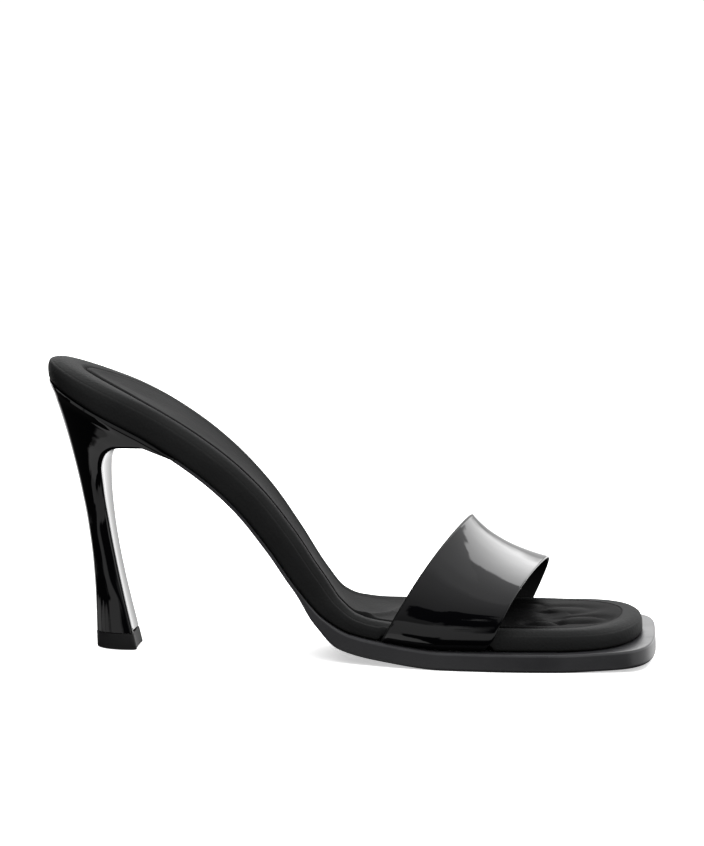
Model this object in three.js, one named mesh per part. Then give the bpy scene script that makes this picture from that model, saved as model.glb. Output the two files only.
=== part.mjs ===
// High-heeled mule for the right foot, in millimetres.
// While it is built, X runs from the rear of the footbed to the toe, Y to the medial (inner) side and Z up.
import * as THREE from "three";

// Driving sizes
const LENGTH = 223.6; // rear of the footbed to the toe of the outsole, in plan
const BALL_WIDTH = 76; // footbed at the ball
const SEAT_HEIGHT = 100.5; // rear of the heel seat above the floor
const SEAT_LENGTH = 50.4; // heel seat in plan, back to wedge tip
const SOLE_THICKNESS = 6.9; // outsole under the forefoot
const SHANK_THICKNESS = 1.5; // outsole under the waist
const TOE_SPRING = 2; // lift of the outsole at the toe tip
const FOOTBED_THICKNESS = 11.4; // padded footbed where it is deepest, at the shank
const RIM = 4.5; // outsole standing out past the footbed at the toe
const SOCK_DEPTH = 3.2; // recess for the sock below the footbed's crest
const SOCK_MARGIN = 7; // footbed's border outside the sock
const SOCK_HEEL_MARGIN = 11.5; // the same border behind the heel
const TOP_PIECE_HEIGHT = 6;
const STRAP_WALL = 1.7;
const STRAP_WIDTH = 37.5; // band along the sole's lateral edge
const STRAP_REAR = 125.5; // band's rear lower corner, lateral side
const STRAP_SKEW = 11; // medial side further forward than the lateral
const STRAP_REAR_LEAN = THREE.MathUtils.degToRad(30); // from upright
const STRAP_FRONT_LEAN = THREE.MathUtils.degToRad(24.5);
const STRAP_REAR_HEIGHT = 41.5; // top of the rear edge over the sole
const STRAP_FRONT_HEIGHT = 26.5; // top of the front edge over the sole
const STRAP_SAG = 1.5; // top line's dip between the two edges
const STRAP_TUCK = 6; // ends turned in between footbed and outsole
const STRAP_BULGE = 1.4; // sides swelling past the footbed
const SEAT_TURN = 28; // the footbed's walls are upright at its rear and square to its run from here on
const GAP = 0.3; // clearance between neighbouring pieces

// Feather line, where footbed and outsole meet, seen from the side.
// along: share of LENGTH. rise: share of the seat's height over the forefoot. spring: share of TOE_SPRING.
const FEATHER = [
  { along: 0, rise: 1, spring: 0 },
  { along: 0.09, rise: 0.886, spring: 0 },
  { along: 0.18, rise: 0.776, spring: 0 },
  { along: 0.26, rise: 0.648, spring: 0 },
  { along: 0.322, rise: 0.514, spring: 0 },
  { along: 0.375, rise: 0.357, spring: 0 },
  { along: 0.42, rise: 0.207, spring: 0 },
  { along: 0.464, rise: 0.095, spring: 0 },
  { along: 0.509, rise: 0.041, spring: 0 },
  { along: 0.571, rise: 0.018, spring: 0 },
  { along: 0.66, rise: 0, spring: 0 },
  { along: 0.84, rise: 0, spring: 0 },
  { along: 0.92, rise: 0, spring: 0.33 },
  { along: 1, rise: 0, spring: 1 },
];

// Footbed in plan. along: share of LENGTH. lateral, medial: shares of BALL_WIDTH. rim: share of RIM.
const PLAN = [
  { along: 0, lateral: 0.343, medial: 0.372, rim: -0.15 },
  { along: 0.1, lateral: 0.35, medial: 0.376, rim: -0.15 },
  { along: 0.17, lateral: 0.35, medial: 0.36, rim: -0.15 },
  { along: 0.24, lateral: 0.34, medial: 0.31, rim: -0.15 },
  { along: 0.31, lateral: 0.322, medial: 0.24, rim: -0.15 },
  { along: 0.38, lateral: 0.315, medial: 0.162, rim: -0.1 },
  { along: 0.43, lateral: 0.323, medial: 0.14, rim: 0 },
  { along: 0.47, lateral: 0.35, medial: 0.2, rim: 0.15 },
  { along: 0.51, lateral: 0.385, medial: 0.315, rim: 0.38 },
  { along: 0.55, lateral: 0.423, medial: 0.385, rim: 0.5 },
  { along: 0.6, lateral: 0.465, medial: 0.43, rim: 0.62 },
  { along: 0.67, lateral: 0.5, medial: 0.468, rim: 0.78 },
  { along: 0.76, lateral: 0.513, medial: 0.487, rim: 0.9 },
  { along: 0.85, lateral: 0.497, medial: 0.474, rim: 1 },
  { along: 0.93, lateral: 0.468, medial: 0.463, rim: 1 },
  { along: 1, lateral: 0.44, medial: 0.45, rim: 1 },
];

// Thickness square to the feather line. pad: share of FOOTBED_THICKNESS.
// sole: from SHANK_THICKNESS, 0, to SOLE_THICKNESS, 1. cup: dip of the sock's middle, share of SOCK_DEPTH.
// bank: fall of the whole section from its lateral edge to its medial one, share of FOOTBED_THICKNESS.
const DEPTHS = [
  { along: 0, pad: 1, sole: 0, cup: 0.32, bank: 0 },
  { along: 0.1, pad: 0.955, sole: 0, cup: 0.34, bank: 0 },
  { along: 0.21, pad: 0.942, sole: 0, cup: 0.3, bank: 0 },
  { along: 0.34, pad: 0.955, sole: 0, cup: 0.16, bank: 0.12 },
  { along: 0.415, pad: 0.91, sole: 0.02, cup: 0.08, bank: 0.19 },
  { along: 0.46, pad: 0.78, sole: 0.47, cup: 0.06, bank: 0.13 },
  { along: 0.5, pad: 0.635, sole: 0.96, cup: 0.08, bank: 0.03 },
  { along: 0.54, pad: 0.565, sole: 1, cup: 0.12, bank: 0 },
  { along: 0.59, pad: 0.6, sole: 1, cup: 0.16, bank: 0 },
  { along: 0.66, pad: 0.66, sole: 1, cup: 0.16, bank: 0 },
  { along: 0.8, pad: 0.66, sole: 1, cup: 0.14, bank: 0 },
  { along: 1, pad: 0.6, sole: 1, cup: 0.06, bank: 0 },
];

// Round ends of the outlines. round: length of the end, share of LENGTH. power: 2 is an ellipse, more is squarer.
// centre: the tip's place across, share of BALL_WIDTH.
const FOOTBED_HEEL = { round: 0.112, power: 2, centre: 0 };
const FOOTBED_TOE = { round: 0.1, power: 2.5, centre: 0.04 };
const OUTSOLE_TOE = { round: 0.065, power: 3.2, centre: 0.05 };
const SOCK_HEEL = { round: 0.13, power: 1.8, centre: 0 };
const SOCK_TOE = { round: 0.1, power: 2.3, centre: 0.04 };

// Heel, a row for each level from the floor up. rise, breastRise: shares of SEAT_HEIGHT, at the back and at the breast.
// back, breast: shares of SEAT_LENGTH from the rear. half: share of the seat's half width. round: back's rounding.
const HEEL = [
  { rise: 0, breastRise: 0, back: 0.341, breast: 0.657, half: 0.35, round: 0.8 },
  { rise: 0.06, breastRise: 0.06, back: 0.337, breast: 0.629, half: 0.338, round: 0.8 },
  { rise: 0.18, breastRise: 0.18, back: 0.331, breast: 0.572, half: 0.324, round: 0.8 },
  { rise: 0.32, breastRise: 0.32, back: 0.314, breast: 0.512, half: 0.324, round: 0.8 },
  { rise: 0.46, breastRise: 0.46, back: 0.28, breast: 0.463, half: 0.352, round: 0.8 },
  { rise: 0.61, breastRise: 0.595, back: 0.224, breast: 0.43, half: 0.44, round: 0.78 },
  { rise: 0.73, breastRise: 0.675, back: 0.168, breast: 0.422, half: 0.555, round: 0.75 },
  { rise: 0.82, breastRise: 0.73, back: 0.121, breast: 0.455, half: 0.685, round: 0.7 },
  { rise: 0.89, breastRise: 0.761, back: 0.083, breast: 0.56, half: 0.81, round: 0.65 },
  { rise: 0.945, breastRise: 0.765, back: 0.05, breast: 0.754, half: 0.915, round: 0.58 },
];
const HEEL_LEVELS = [0.06, 0.12, 0.2, 0.28, 0.36, 0.44, 0.52, 0.6, 0.67, 0.73, 0.78, 0.82, 0.86, 0.89, 0.92, 0.945];
const HEEL_LIP = 2.2; // edge of the heel under the footbed
const HEEL_INSET = 0.9; // heel's edge inside the footbed's
const BREAST_HOLLOW = 0.06; // share of the half width
const BREAST_EDGE = 0.7; // radius of the breast's two edges

const mix = (a, b, t) => a + (b - a) * t;
const smooth = (t) => THREE.MathUtils.smoothstep(t, 0, 1);

// Curve through a table's rows that never overshoots them: gives its value and slope at any place.
function curve(rows, from, to) {
  const u = rows.map((row) => row[from]);
  const v = rows.map((row) => row[to]);
  const chord = u.slice(1).map((next, i) => (v[i + 1] - v[i]) / (next - u[i]));
  const slope = u.map((_, i) => {
    if (i === 0) return chord[0];
    if (i === u.length - 1) return chord[i - 1];
    const [before, after] = [chord[i - 1], chord[i]];
    return before * after <= 0 ? 0 : (2 * before * after) / (before + after);
  });
  return (at) => {
    const x = THREE.MathUtils.clamp(at, u[0], u[u.length - 1]);
    const i = Math.min(u.findLastIndex((start) => start <= x), u.length - 2);
    const step = u[i + 1] - u[i];
    const t = (x - u[i]) / step;
    const [a, b] = [slope[i] * step, slope[i + 1] * step];
    const rise = v[i + 1] - v[i];
    const value = v[i] + t * (a + t * (3 * rise - 2 * a - b + t * (a + b - 2 * rise)));
    const rate = (a + t * (2 * (3 * rise - 2 * a - b) + 3 * t * (a + b - 2 * rise))) / step;
    return { value, rate };
  };
}
const lengthwise = (rows, to) => {
  const read = curve(rows, "along", to);
  return (x) => read(x / LENGTH).value;
};

const featherRise = curve(FEATHER, "along", "rise");
const featherSpring = curve(FEATHER, "along", "spring");
const lateralWidth = lengthwise(PLAN, "lateral");
const medialWidth = lengthwise(PLAN, "medial");
const rimShare = lengthwise(PLAN, "rim");
const padShare = lengthwise(DEPTHS, "pad");
const soleShare = lengthwise(DEPTHS, "sole");
const cupShare = lengthwise(DEPTHS, "cup");
const bankShare = lengthwise(DEPTHS, "bank");

const padHeight = (x) => padShare(x) * FOOTBED_THICKNESS;
const soleDepth = (x) => mix(SHANK_THICKNESS, SOLE_THICKNESS, soleShare(x));
const lateralEdge = (x) => lateralWidth(x) * BALL_WIDTH;
const medialEdge = (x) => medialWidth(x) * BALL_WIDTH;

function feather(x) {
  const rise = featherRise(x / LENGTH);
  const spring = featherSpring(x / LENGTH);
  const drop = SEAT_HEIGHT - SOLE_THICKNESS;
  const z = SOLE_THICKNESS + rise.value * drop + spring.value * TOE_SPRING;
  const slope = (rise.rate * drop + spring.rate * TOE_SPRING) / LENGTH;
  return { z, slope };
}

// Point at x along the feather line, y across and h square to the line. Behind SEAT_TURN it is brought back,
// so that the wall round the rear stands upright.
function onFeather(x, y, h) {
  const { z, slope } = feather(x);
  const unit = Math.hypot(1, slope);
  const shift = (-h * slope) / unit;
  const turn = smooth(x / SEAT_TURN);
  const across = (y + lateralEdge(x)) / (lateralEdge(x) + medialEdge(x));
  const fall = bankShare(x) * FOOTBED_THICKNESS * across;
  return new THREE.Vector3(x + turn * shift, y, z + h / unit - fall);
}

// Closed solid through rings of equal count, each counter-clockwise seen from the last ring's side.
// In a ring, point i faces point n - i, so each end closes with a strip of quads.
function solid(rings) {
  const n = rings[0].length;
  const index = [];
  rings.slice(1).forEach((_, k) => {
    for (let i = 0; i < n; i++) {
      const [a, b] = [k * n + i, k * n + ((i + 1) % n)];
      index.push(a, b, b + n, a, b + n, a + n);
    }
  });
  const close = (start, turned) => {
    const face = (a, b, c) => index.push(start + a, start + (turned ? c : b), start + (turned ? b : c));
    for (let i = 0; i < n / 2; i++) {
      const [near, far] = [(n - i) % n, n - i - 1];
      if (i > 0) face(i, i + 1, near);
      if (i < n / 2 - 1) face(i + 1, far, near);
    }
  };
  close(0, true);
  close((rings.length - 1) * n, false);
  const geometry = new THREE.BufferGeometry();
  geometry.setAttribute("position", new THREE.Float32BufferAttribute(rings.flat().flatMap((p) => [...p]), 3));
  geometry.setIndex(index);
  geometry.computeVertexNormals();
  return geometry;
}

// Places at even steps along the feather line's own length, so that its bends are as finely cut as its straights.
function evenPlaces(from, to, count) {
  const walk = [{ x: from, length: 0 }];
  const steps = 4 * count;
  for (let i = 1; i <= steps; i++) {
    const x = mix(from, to, i / steps);
    const last = walk[i - 1];
    walk.push({ x, length: last.length + Math.hypot(x - last.x, feather(x).z - feather(last.x).z) });
  }
  const place = curve(walk, "length", "x");
  return Array.from({ length: count + 1 }, (_, i) => place((i / count) * walk[steps].length).value);
}

// Outline in plan: heel tip, lateral side, toe tip, medial side.
const END_STEPS = 9;
const SIDE_STEPS = 40;
function outline({ start, end, heel, toe, lateral, medial }) {
  const stations = [];
  const endStation = (share, spec, tip, inward) => {
    const angle = (share * Math.PI) / 2;
    const x = tip + inward * spec.round * LENGTH * (1 - Math.cos(angle) ** (2 / spec.power));
    stations.push({ x, reach: Math.sin(angle) ** (2 / spec.power), centre: spec.centre * BALL_WIDTH });
  };
  for (let i = 0; i < END_STEPS; i++) endStation(i / END_STEPS, heel, start, 1);
  evenPlaces(start + heel.round * LENGTH, end - toe.round * LENGTH, SIDE_STEPS).forEach((x) =>
    stations.push({ x, reach: 1, centre: 0 }),
  );
  for (let i = END_STEPS - 1; i >= 0; i--) endStation(i / END_STEPS, toe, end, -1);
  const across = (station, edge) => ({ x: station.x, y: mix(station.centre, edge, station.reach) });
  const near = stations.map((station) => across(station, -lateral(station.x)));
  const far = stations.map((station) => across(station, medial(station.x)));
  return [...near, ...far.slice(1, -1).reverse()];
}

// Strap: place and shape of the band
const ARCH_RISE = 2.6; // roundness of the arch: power of its height
const ARCH_SPREAD = { rear: 1.7, front: 2.5 }; // power of its half width at the two edges
const STRAP_APEX = 0.09; // arch's top towards the medial side, share of BALL_WIDTH
const STRAP_SHOULDER = 9; // height at which the sides turn into the arch
const TURN_RADIUS = 2.2; // middle of the wall where the ends turn in
const ARCH_STEPS = 28;
const BAND_STEPS = 9;

// How far the strap's end is under the footbed at x, from 0 to 1: the footbed's underside steps up for it.
function tucked(x, medial) {
  const rear = STRAP_REAR + (medial ? STRAP_SKEW : 0);
  const margin = 3;
  const before = smooth((x - rear + 2 * margin) / margin);
  const after = smooth((rear + STRAP_WIDTH + TURN_RADIUS + 2 * margin - x) / margin);
  return before * after;
}

// Footbed: padded board wrapped in leather
const footbedEdge = outline({
  start: 0,
  end: LENGTH - RIM,
  heel: FOOTBED_HEEL,
  toe: FOOTBED_TOE,
  lateral: lateralEdge,
  medial: medialEdge,
});
const sockEdge = (clearance) =>
  outline({
    start: SOCK_HEEL_MARGIN + clearance,
    end: LENGTH - RIM - SOCK_MARGIN - clearance,
    heel: SOCK_HEEL,
    toe: SOCK_TOE,
    lateral: (x) => lateralEdge(x) - SOCK_MARGIN - clearance,
    medial: (x) => medialEdge(x) - SOCK_MARGIN - clearance,
  });

// in: from the footbed's edge, 0, to the sock's, 1. up: share of the pad's height.
const FOOTBED_RINGS = [
  { in: 0.12, up: 0 },
  { in: 0.03, up: 0.07 },
  { in: 0, up: 0.2 },
  { in: 0, up: 0.48 },
  { in: 0.06, up: 0.68 },
  { in: 0.18, up: 0.84 },
  { in: 0.36, up: 0.96 },
  { in: 0.56, up: 1 },
  { in: 0.8, up: 0.985 },
  { in: 0.95, up: 0.93 },
  { in: 1, up: 0.86 },
];

function footbed() {
  const inner = sockEdge(0);
  const ring = (inward, height) =>
    footbedEdge.map((p, i) => {
      const x = mix(p.x, inner[i].x, inward);
      const y = mix(p.y, inner[i].y, inward);
      return onFeather(x, y, height(x, y));
    });
  const step = (x, y) => tucked(x, y > 0) * (STRAP_WALL + GAP);
  const underside = [ring((STRAP_TUCK + 1) / SOCK_MARGIN, () => 0), ring((STRAP_TUCK + 0.5) / SOCK_MARGIN, step)];
  const wall = FOOTBED_RINGS.map((row) =>
    ring(row.in, (x, y) => mix(step(x, y), padHeight(x), row.up)),
  );
  const floor = ring(1, (x) => padHeight(x) - SOCK_DEPTH);
  return solid([...underside, ...wall, floor]);
}

// Sock: padded panel let into the footbed
// out: share of the distance from the panel's middle. up: share of its thickness. cup: share of the middle's dip.
const SOCK_RINGS = [
  { out: 0.985, up: 0, cup: 0 },
  { out: 1, up: 0.15, cup: 0 },
  { out: 1, up: 0.6, cup: 0 },
  { out: 0.975, up: 0.84, cup: 0 },
  { out: 0.93, up: 0.96, cup: 0 },
  { out: 0.84, up: 1, cup: 0.05 },
  { out: 0.66, up: 1, cup: 0.45 },
  { out: 0.44, up: 1, cup: 0.8 },
  { out: 0.22, up: 1, cup: 1 },
];

function sock() {
  const edge = sockEdge(GAP);
  const middle = edge.map((p, i) => ({
    x: mix(p.x, LENGTH / 2, 0.25),
    y: (p.y + edge[(edge.length - i) % edge.length].y) / 2,
  }));
  const thickness = SOCK_DEPTH - GAP;
  const rings = SOCK_RINGS.map((row) =>
    edge.map((p, i) => {
      const x = mix(middle[i].x, p.x, row.out);
      const y = mix(middle[i].y, p.y, row.out);
      const height = padHeight(x) - thickness * (1 - row.up) - cupShare(x) * SOCK_DEPTH * row.cup;
      return onFeather(x, y, height);
    }),
  );
  return solid(rings);
}

// Outsole: forefoot platform with a rim, running thin under the waist to the heel
// in: distance from the edge. up: share of the thickness, from the tread up.
const OUTSOLE_RINGS = [
  { in: 0.9, up: 0 },
  { in: 0.25, up: 0.06 },
  { in: 0, up: 0.18 },
  { in: 0, up: 0.86 },
  { in: 0.2, up: 0.95 },
  { in: 0.7, up: 1 },
];

function outsole() {
  const start = SEAT_LENGTH + GAP;
  const rings = OUTSOLE_RINGS.map((row) => {
    const edge = outline({
      start: start + row.in * 0.5,
      end: LENGTH - row.in,
      heel: { round: 0.008, power: 3, centre: 0 },
      toe: OUTSOLE_TOE,
      lateral: (x) => lateralEdge(x) + rimShare(x) * RIM - row.in,
      medial: (x) => medialEdge(x) + rimShare(x) * RIM - row.in,
    });
    return edge.map(({ x, y }) => onFeather(x, y, mix(-soleDepth(x), -GAP, row.up)));
  });
  return solid(rings);
}

// Heel: a back profile and a breast profile, joined by D-shaped rings
const heelRead = Object.fromEntries(
  ["breastRise", "back", "breast", "half", "round"].map((name) => [name, curve(HEEL, "rise", name)]),
);
const seatHalf = (lateralEdge(SEAT_LENGTH / 2) + medialEdge(SEAT_LENGTH / 2)) / 2;
const BACK_STEPS = 12;

// D-shape from the middle of its back to the middle of its front: round back, straight sides, two edges
// and a hollow front. place puts a point u from the back and v to the given side.
function dShape({ depth, round, hollow, half }, place) {
  const onSide = (side) => {
    const points = [];
    for (let i = 0; i <= BACK_STEPS; i++) {
      const angle = (i / BACK_STEPS) * (Math.PI / 2);
      const u = round * (1 - Math.cos(angle));
      points.push({ u, v: half(u, side) * Math.sin(angle) });
    }
    const flank = (u, inward) => points.push({ u, v: half(u, side) - inward });
    flank(mix(round, depth, 0.5), 0);
    flank(depth - BREAST_EDGE, 0);
    flank(depth - 0.3 * BREAST_EDGE, 0.3 * BREAST_EDGE);
    flank(depth, BREAST_EDGE);
    [0.66, 0.33, 0].forEach((share) =>
      points.push({ u: depth - hollow * (1 - share ** 2), v: half(depth, side) * share }),
    );
    return points.map(({ u, v }) => place(u, side * v));
  };
  return [...onSide(-1), ...onSide(1).slice(1, -1).reverse()];
}

function heelRing(rise, inset = 0) {
  const backX = heelRead.back(rise).value * SEAT_LENGTH + inset;
  const breastX = heelRead.breast(rise).value * SEAT_LENGTH - inset;
  const backZ = rise * SEAT_HEIGHT;
  const breastZ = heelRead.breastRise(rise).value * SEAT_HEIGHT;
  const half = heelRead.half(rise).value * seatHalf - inset;
  const depth = Math.hypot(breastX - backX, breastZ - backZ);
  const shape = { depth, round: heelRead.round(rise).value * depth, hollow: half * BREAST_HOLLOW, half: () => half };
  return dShape(shape, (u, y) => {
    const share = u / depth;
    return new THREE.Vector3(mix(backX, breastX, share), y, mix(backZ, breastZ, share));
  });
}

// Ring of the heel that follows the footbed's own edge, a drop below the feather line. Its front edge
// keeps a constant gap to the outsole's end.
function seatRing(drop, inset) {
  const round = FOOTBED_HEEL.round * LENGTH - inset;
  const half = (u, side) => (side < 0 ? lateralEdge(u) : medialEdge(u)) - inset;
  const { slope } = feather(SEAT_LENGTH);
  const front = SEAT_LENGTH + (drop * slope) / Math.hypot(1, slope);
  const shape = { depth: front - inset, round, hollow: 0, half };
  return dShape(shape, (u, y) => new THREE.Vector3(u + inset, y, feather(u + inset).z - drop));
}

function heel() {
  const bottom = (TOP_PIECE_HEIGHT + GAP) / SEAT_HEIGHT;
  const stem = HEEL_LEVELS.map((level) => Math.max(level, bottom)).filter((level, i, all) => level !== all[i + 1]);
  return solid([
    ...stem.map((level) => heelRing(level)),
    seatRing(HEEL_LIP, HEEL_INSET),
    seatRing(3 * GAP, HEEL_INSET),
    seatRing(1.2 * GAP, HEEL_INSET + GAP),
  ]);
}

function topPiece() {
  const top = TOP_PIECE_HEIGHT / SEAT_HEIGHT;
  return solid([heelRing(0, 0.4), heelRing(0.004), heelRing(top)]);
}

// Strap's middle surface. band: 0 at the rear edge to 1 at the front. The list runs from the lateral end,
// over the foot, to the medial end.
function strapLine(band) {
  const rearX = STRAP_REAR + band * STRAP_WIDTH;
  const lean = Math.tan(mix(STRAP_REAR_LEAN, STRAP_FRONT_LEAN, band));
  const sag = 4 * band * (1 - band) * STRAP_SAG;
  const height = mix(STRAP_REAR_HEIGHT, STRAP_FRONT_HEIGHT, band) - sag - STRAP_WALL / 2;
  const spread = mix(ARCH_SPREAD.rear, ARCH_SPREAD.front, band);
  const apexY = STRAP_APEX * BALL_WIDTH;
  const wall = GAP + STRAP_WALL / 2;
  const at = (y, up, share) => {
    const base = mix(feather(rearX).z, feather(rearX + STRAP_SKEW).z, share);
    return new THREE.Vector3(rearX + share * STRAP_SKEW + up * lean, y, base + up);
  };
  const side = (medial) => {
    const share = medial ? 1 : 0;
    const edge = (up) => {
      const x = rearX + share * STRAP_SKEW + up * lean;
      return medial ? medialEdge(x) : lateralEdge(x);
    };
    const sign = medial ? 1 : -1;
    const low = STRAP_WALL / 2;
    const points = [0, 0.5, 1].map((t) => at(sign * (edge(low) + mix(-STRAP_TUCK, wall - TURN_RADIUS, t)), low, share));
    [30, 60, 90].forEach((degrees) => {
      const angle = THREE.MathUtils.degToRad(degrees);
      const up = low + TURN_RADIUS * (1 - Math.cos(angle));
      points.push(at(sign * (edge(up) + wall - TURN_RADIUS * (1 - Math.sin(angle))), up, share));
    });
    const flare = smooth(0.5);
    const middle = mix(low + TURN_RADIUS, STRAP_SHOULDER, 0.5);
    points.push(at(sign * (edge(middle) + wall + flare * STRAP_BULGE), middle, share));
    return { points, shoulder: sign * (edge(STRAP_SHOULDER) + wall + STRAP_BULGE) };
  };
  const lateral = side(false);
  const medial = side(true);
  const arch = [];
  for (let i = 0; i <= ARCH_STEPS; i++) {
    const angle = (i / ARCH_STEPS) * Math.PI;
    const out = Math.abs(Math.cos(angle)) ** (2 / spread);
    const up = Math.abs(Math.sin(angle)) ** (2 / ARCH_RISE);
    const y = mix(apexY, i < ARCH_STEPS / 2 ? lateral.shoulder : medial.shoulder, out);
    const share = (y - lateral.shoulder) / (medial.shoulder - lateral.shoulder);
    arch.push(at(y, mix(STRAP_SHOULDER, height, up), share));
  }
  return [...lateral.points, ...arch, ...medial.points.reverse()];
}

function strap() {
  const lines = [];
  for (let j = 0; j <= BAND_STEPS; j++) lines.push(strapLine(j / BAND_STEPS));
  const rings = lines[0].map((_, i) => {
    const outer = [];
    const inner = [];
    lines.forEach((line, j) => {
      const along = new THREE.Vector3().subVectors(line[Math.min(i + 1, line.length - 1)], line[Math.max(i - 1, 0)]);
      const [before, after] = [lines[Math.max(j - 1, 0)][i], lines[Math.min(j + 1, BAND_STEPS)][i]];
      const across = new THREE.Vector3().subVectors(after, before);
      const normal = new THREE.Vector3().crossVectors(across, along).normalize();
      if (j === 0) outer.push(line[i].clone().addScaledVector(across.clone().normalize(), -STRAP_WALL / 2));
      outer.push(line[i].clone().addScaledVector(normal, STRAP_WALL / 2));
      inner.unshift(line[i].clone().addScaledVector(normal, -STRAP_WALL / 2));
      if (j === BAND_STEPS) outer.push(line[i].clone().addScaledVector(across.clone().normalize(), STRAP_WALL / 2));
    });
    return [...outer, ...inner];
  });
  return solid(rings);
}

// Finishes
const leather = new THREE.MeshStandardMaterial({ color: 0x121211, roughness: 0.55, metalness: 0 });
const satin = new THREE.MeshStandardMaterial({ color: 0x171716, roughness: 0.42, metalness: 0 });
const patent = new THREE.MeshStandardMaterial({ color: 0x08080a, roughness: 0.08, metalness: 0 });
const sole = new THREE.MeshStandardMaterial({ color: 0x2c2c2d, roughness: 0.4, metalness: 0 });
const rubber = new THREE.MeshStandardMaterial({ color: 0x1a1a1a, roughness: 0.7, metalness: 0 });

const mule = new THREE.Group();
const add = (name, geometry, material) => {
  const mesh = new THREE.Mesh(geometry, material);
  mesh.name = name;
  mule.add(mesh);
};
add("outsole", outsole(), sole);
add("footbed", footbed(), leather);
add("sock", sock(), satin);
add("heel", heel(), patent);
add("top_piece", topPiece(), rubber);
add("strap", strap(), patent);

// The part's origin is on the floor, at the middle of its box in plan.
const box = new THREE.Box3().setFromObject(mule, true);
mule.position.set(-(box.min.x + box.max.x) / 2, -(box.min.y + box.max.y) / 2, 0);

export default mule;
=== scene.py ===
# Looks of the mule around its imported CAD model. Shapes are worked out in millimetres in the design's own
# frame: x from the rear of the footbed to the toe, y to the medial side, z up. solid() moves them to the
# shared frame.
import math

import bpy
import numpy as np
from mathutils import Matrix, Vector


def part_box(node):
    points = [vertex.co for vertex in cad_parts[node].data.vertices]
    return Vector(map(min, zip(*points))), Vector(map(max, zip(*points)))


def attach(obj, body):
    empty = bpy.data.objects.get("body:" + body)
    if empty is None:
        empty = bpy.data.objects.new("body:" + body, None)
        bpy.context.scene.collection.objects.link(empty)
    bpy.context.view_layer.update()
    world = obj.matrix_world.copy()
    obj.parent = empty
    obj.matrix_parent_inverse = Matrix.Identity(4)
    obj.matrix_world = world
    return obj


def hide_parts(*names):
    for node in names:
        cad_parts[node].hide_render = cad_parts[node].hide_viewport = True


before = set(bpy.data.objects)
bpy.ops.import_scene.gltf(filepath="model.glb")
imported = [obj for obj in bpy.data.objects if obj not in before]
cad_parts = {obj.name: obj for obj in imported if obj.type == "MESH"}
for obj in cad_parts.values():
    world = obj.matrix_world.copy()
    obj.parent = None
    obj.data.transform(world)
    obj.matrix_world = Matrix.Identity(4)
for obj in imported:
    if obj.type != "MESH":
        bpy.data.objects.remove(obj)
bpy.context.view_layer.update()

# Driving sizes, as in the CAD
LENGTH = 223.6
BALL_WIDTH = 76
SEAT_HEIGHT = 100.5
SEAT_LENGTH = 50.4
SOLE_THICKNESS = 6.9
SHANK_THICKNESS = 1.5
TOE_SPRING = 2
FOOTBED_THICKNESS = 11.4
RIM = 4.5
SOCK_DEPTH = 3.2
SOCK_MARGIN = 7
SOCK_HEEL_MARGIN = 11.5
TOP_PIECE_HEIGHT = 6
STRAP_WALL = 1.7
STRAP_WIDTH = 37.5
STRAP_REAR = 125.5
STRAP_SKEW = 11
STRAP_REAR_LEAN = math.radians(30)
STRAP_FRONT_LEAN = math.radians(24.5)
STRAP_REAR_HEIGHT = 41.5
STRAP_FRONT_HEIGHT = 26.5
STRAP_SAG = 1.5
STRAP_TUCK = 6
STRAP_BULGE = 1.4
STRAP_APEX = 0.09
STRAP_SHOULDER = 9
TURN_RADIUS = 2.2
ARCH_RISE = 2.6
ARCH_SPREAD = (1.7, 2.5)
SEAT_TURN = 28
BREAST_HOLLOW = 0.06
GAP = 0.3

# Sizes that only the looks have, or that are finer here than in the CAD
# Footbed: how far in its underside starts, and how far the room for the strap's ends goes
UNDERSIDE_INWARD = STRAP_TUCK + 1
TUCK_INWARD = STRAP_TUCK + 0.5
# That room past the strap's rear and front edges, and the length over which it opens
TUCK_BEFORE, TUCK_AFTER, TUCK_RAMP = 1.9, 3.1, 1.5
# Ledge along the shank's wall: start and width up the wall, depth
WALL_LINE = (0.737, 0.022, 0.45)
# Where the ledge begins and ends along the shoe, each with the length over which it fades
WALL_LINE_START, WALL_LINE_END = (70, 25), (134, 10)
# How far in from the wall it starts to fade, and over what width
WALL_LINE_FADE = (0.15, 0.5)
# Toe bed: where the sock's edge starts to lie flush in the footbed, and the length over which it gets there
TOE_BED = (174, 16)
# How far in on the rim the footbed starts to lie flush there, and over what width
TOE_BED_RIM = (0.56, 0.2)
# Groove round the sock, and how far the sock laps over the recess's edge where the groove is closed
SOCK_GROOVE, SOCK_LAP = 0.55, 0.4
GROOVE_CLOSES = (166, 20)  # where it starts to close, and over what length
# Depth to which the sock's edge is sunk in the toe bed, where that starts and over what width
SOCK_SUNK = (0.12, 0.93, 0.06)
# How far the lines across the sock run together towards its middle, and the border that stays free of relief
SOCK_GATHER, SOCK_PLAIN = 0.25, 0.1
# Soft fold behind the strap: along, across
FOLD = [(111, -25), (118, -21), (124, -13), (129, -1), (133, 13)]
FOLD_HEIGHT, FOLD_WIDTH = 1.1, 1.9
FOLD_SPREAD = 0.6  # below 1, the fold is broader across the shoe than along it
# Soft moulded dimples under the toes: along, across, half length, half width, depth, in millimetres
TOE_DIMPLES = [
    (191, 10, 9.5, 7.5, 1.2), (197, -11, 10, 7.5, 1.9), (183, -19, 6.5, 5.5, 1.6), (180, 2, 7, 5, 0.8),
    (176, 17, 6, 5, 0.7),
]
# Swelling in a dimple's middle: height and radius. Width of the groove round it. Share of the depth used.
SWELL_HEIGHT, SWELL_RADIUS, DIMPLE_GROOVE, PRESSED = 0.55, 0.6, 0.32, 0.55
# Outsole: how far it runs on inside the heel, and how far its rear end follows the inset of its edge
OUTSOLE_LAP, OUTSOLE_REAR_INSET = 3, 0.5
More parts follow.
